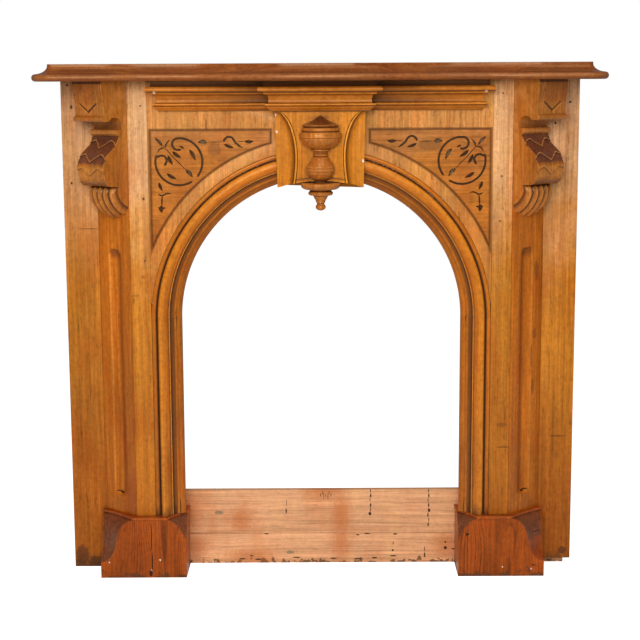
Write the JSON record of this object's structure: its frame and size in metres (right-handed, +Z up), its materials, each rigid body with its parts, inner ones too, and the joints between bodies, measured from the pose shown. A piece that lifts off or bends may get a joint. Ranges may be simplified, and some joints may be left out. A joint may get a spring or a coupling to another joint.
{
  "type": "fireplace mantel",
  "caption": "Carved wooden fireplace mantel with a serpentine shelf, round arch, urn keystone, scroll corbels on canted pilasters and foot blocks.",
  "frame": {"origin": "floor level, under the middle of the whole box", "axes": "+X to the viewer's right, the mantel faces -Y with its back to a wall at +Y, +Z up"},
  "size_m": [1.42, 0.262, 1.325],
  "materials": {
    "shelf_board": "red-brown waxed pine, satin",
    "waxed_pine": "orange-honey waxed pine, satin",
    "mouldings": "orange-brown waxed pine, dark in the hollows",
    "spandrel_panels": "honey waxed pine with dark incised scrolls",
    "carved_work": "waxed carved pine, dark in the cuts",
    "foot_blocks": "red-brown pine, cracked and worn",
    "raw_softwood": "raw sawn softwood, stained"
  },
  "bodies": {
    "root": {"arch_front_board": "waxed_pine", "arch_moulding_left": "mouldings", "arch_moulding_right": "mouldings", "bed_moulding_center": "waxed_pine", "bed_moulding_left": "waxed_pine", "bed_moulding_right": "waxed_pine", "canted_pilaster_left": "waxed_pine", "canted_pilaster_right": "waxed_pine", "corbel_left": "carved_work", "corbel_right": "carved_work", "foot_block_left": "foot_blocks", "foot_block_right": "foot_blocks", "front_stile_left": "waxed_pine", "front_stile_right": "waxed_pine", "hearth_brace_lower": "raw_softwood", "hearth_brace_upper": "raw_softwood", "jamb_moulding_left": "mouldings", "jamb_moulding_right": "mouldings", "keystone_block": "carved_work", "keystone_urn_drop": "carved_work", "mantel_shelf": "shelf_board", "spandrel_panel_left": "spandrel_panels", "spandrel_panel_right": "spandrel_panels", "wing_board_left": "waxed_pine", "wing_board_right": "waxed_pine"}
  },
  "joints": []
}
